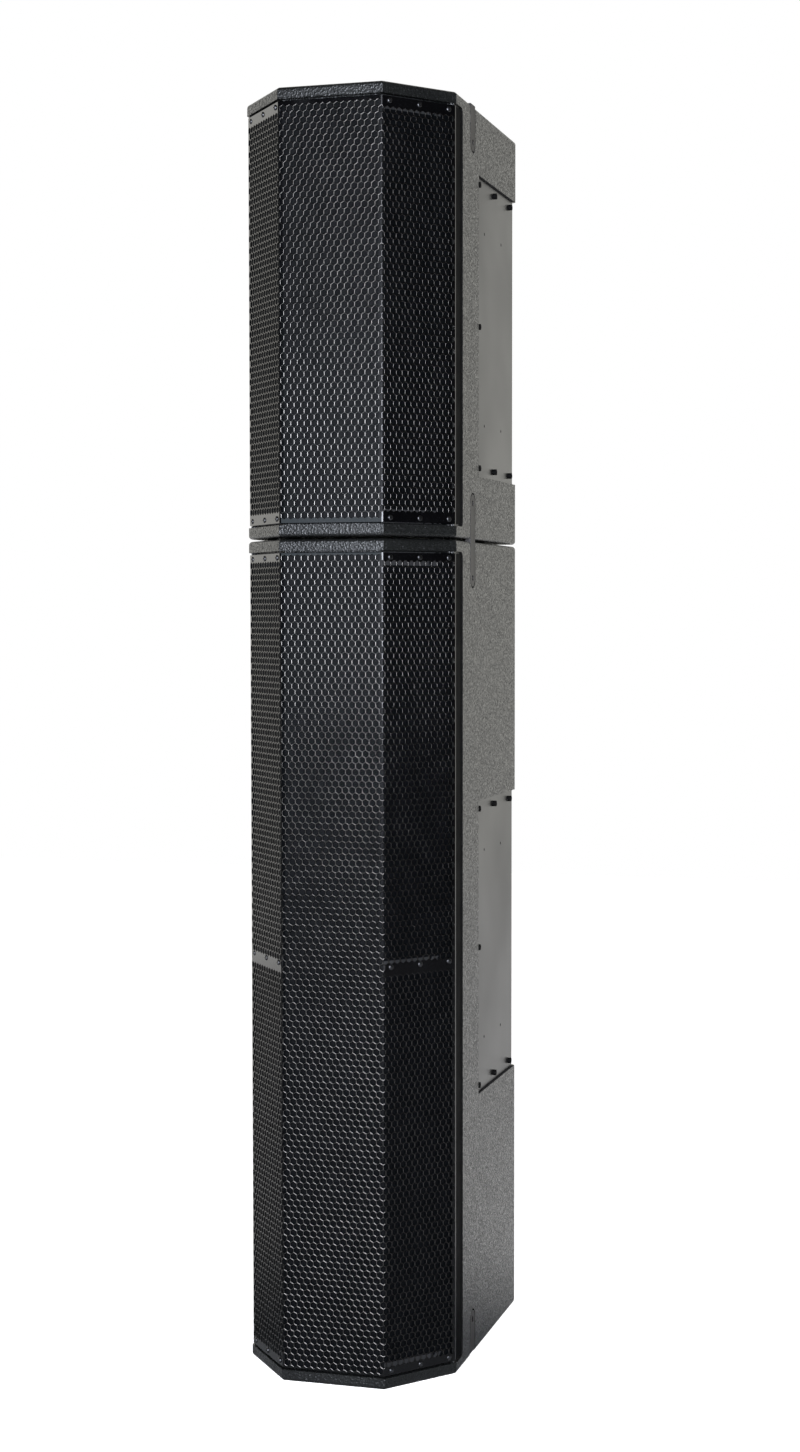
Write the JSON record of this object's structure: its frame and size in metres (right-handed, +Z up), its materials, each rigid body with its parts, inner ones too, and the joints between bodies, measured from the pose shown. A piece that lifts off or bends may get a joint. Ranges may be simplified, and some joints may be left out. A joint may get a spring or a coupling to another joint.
{
  "type": "column loudspeaker",
  "caption": "Tall faceted column loudspeaker: a long and a short powered cabinet linked by side bars, with perforated wrap-round grilles and recessed rear connectors.",
  "frame": {"origin": "centre of the plan at the floor, midway between the two sides and between the front facet and the rear face", "axes": "+Z up, -Y out of the front facet, +Y out of the rear face, +X to the right as seen from the front"},
  "size_m": [0.304, 0.451, 1.771],
  "materials": {
    "cabinet_paint": "textured two-pack paint on birch plywood, dark grey, splatter texture",
    "raw_plywood": "sanded birch plywood",
    "black_plywood": "plywood sprayed matt black",
    "grille_steel": "gloss black powder coat on perforated steel",
    "foam": "open-cell black acoustic foam",
    "chassis_sheet": "folded sheet with a satin dark grey coat",
    "tray_sheet": "pressed steel, black powder coat",
    "black_fastener": "black oxide steel",
    "link_steel": "dark coated steel flat",
    "bolt_steel": "zinc plated",
    "insert_steel": "zinc plated",
    "rubber": "matt",
    "basket_steel": "pressed steel, black",
    "ferrite": "sintered ferrite with steel plates",
    "cone_paper": "coated paper cone with its cap and former",
    "waveguide_plastic": "moulded ABS",
    "driver_casting": "die cast",
    "socket_shell": "moulded, black",
    "mains_shell": "moulded, blue grey",
    "switch_plastic": "moulded, black",
    "rocker_plastic": "moulded, red",
    "knob_plastic": "moulded, black",
    "latch_metal": "nickel plated",
    "indicator_lens": "clear light pipe",
    "pot_body": "moulded",
    "circuit_board": "glass-fibre board with its components"
  },
  "bodies": {
    "column": {"lower_floor_panel": "cabinet_paint", "lower_roof_panel": "cabinet_paint", "lower_left_side": "cabinet_paint", "lower_right_side": "cabinet_paint", "lower_back_panel": "cabinet_paint", "lower_baffle": "black_plywood", "lower_braces": "raw_plywood", "lower_grille": "grille_steel", "lower_grille_foam": "foam", "lower_waveguides": "waveguide_plastic", "lower_chassis": "chassis_sheet", "lower_connector_tray": "tray_sheet", "upper_floor_panel": "cabinet_paint", "upper_roof_panel": "cabinet_paint", "upper_left_side": "cabinet_paint", "upper_right_side": "cabinet_paint", "upper_back_panel": "cabinet_paint", "upper_baffle": "black_plywood", "upper_braces": "raw_plywood", "upper_grille": "grille_steel", "upper_grille_foam": "foam", "upper_waveguides": "waveguide_plastic", "upper_chassis": "chassis_sheet", "upper_connector_tray": "tray_sheet", "woofer_baskets": "basket_steel", "woofer_magnets": "ferrite", "woofer_screws": "black_fastener", "hf_drivers": "driver_casting", "grille_rails": "black_plywood", "grille_screws": "black_fastener", "link_bars": "link_steel", "end_bars": "link_steel", "link_bolts": "bolt_steel", "link_inserts": "insert_steel", "seam_pads": "rubber", "chassis_screws": "black_fastener", "chassis_dots": "black_fastener", "signal_sockets": "socket_shell", "mains_sockets": "mains_shell", "switch_frames": "switch_plastic", "level_controls": "pot_body", "indicators": "indicator_lens", "amplifier_boards": "circuit_board", "power_supplies": "circuit_board", "board_standoffs": "insert_steel"},
    "lower_left_drivers": {"lower_left_cones": "cone_paper", "lower_left_surrounds": "rubber"},
    "lower_right_drivers": {"lower_right_cones": "cone_paper", "lower_right_surrounds": "rubber"},
    "lower_latch": {"lower_latch_tab": "latch_metal"},
    "lower_rocker": {"lower_power_rocker": "rocker_plastic"},
    "lower_knob": {"lower_level_knob": "knob_plastic"},
    "upper_left_drivers": {"upper_left_cones": "cone_paper", "upper_left_surrounds": "rubber"},
    "upper_right_drivers": {"upper_right_cones": "cone_paper", "upper_right_surrounds": "rubber"},
    "upper_latch": {"upper_latch_tab": "latch_metal"},
    "upper_rocker": {"upper_power_rocker": "rocker_plastic"},
    "upper_knob": {"upper_level_knob": "knob_plastic"}
  },
  "joints": [
    {"name": "lower_left_cone_travel", "type": "slide", "parent": "column", "child": "lower_left_drivers", "axis": [-0.7736, -0.6337, 0], "range_m": [-0.003, 0.003], "stiffness_N_per_m": 8000},
    {"name": "lower_right_cone_travel", "type": "slide", "parent": "column", "child": "lower_right_drivers", "axis": [0.7736, -0.6337, 0], "range_m": [-0.003, 0.003], "stiffness_N_per_m": 8000},
    {"name": "lower_latch_push", "type": "slide", "parent": "column", "child": "lower_latch", "axis": [0, -1, 0], "range_m": [0, 0.0015], "stiffness_N_per_m": 800, "springref_m": -0.0005},
    {"name": "lower_power_switch", "type": "hinge", "parent": "column", "child": "lower_rocker", "pos_m": [-0.0175, 0.194, 0.431], "axis": [1, 0, 0], "range_deg": [0, 20]},
    {"name": "lower_level_turn", "type": "hinge", "parent": "column", "child": "lower_knob", "pos_m": [0.0175, 0.202, 0.431], "axis": [0, 1, 0], "range_deg": [-150, 150]},
    {"name": "upper_left_cone_travel", "type": "slide", "parent": "column", "child": "upper_left_drivers", "axis": [-0.7736, -0.6337, 0], "range_m": [-0.003, 0.003], "stiffness_N_per_m": 4000},
    {"name": "upper_right_cone_travel", "type": "slide", "parent": "column", "child": "upper_right_drivers", "axis": [0.7736, -0.6337, 0], "range_m": [-0.003, 0.003], "stiffness_N_per_m": 4000},
    {"name": "upper_latch_push", "type": "slide", "parent": "column", "child": "upper_latch", "axis": [0, -1, 0], "range_m": [0, 0.0015], "stiffness_N_per_m": 800, "springref_m": -0.0005},
    {"name": "upper_power_switch", "type": "hinge", "parent": "column", "child": "upper_rocker", "pos_m": [-0.0175, 0.194, 1.3175], "axis": [1, 0, 0], "range_deg": [0, 20]},
    {"name": "upper_level_turn", "type": "hinge", "parent": "column", "child": "upper_knob", "pos_m": [0.0175, 0.202, 1.3175], "axis": [0, 1, 0], "range_deg": [-150, 150]}
  ]
}
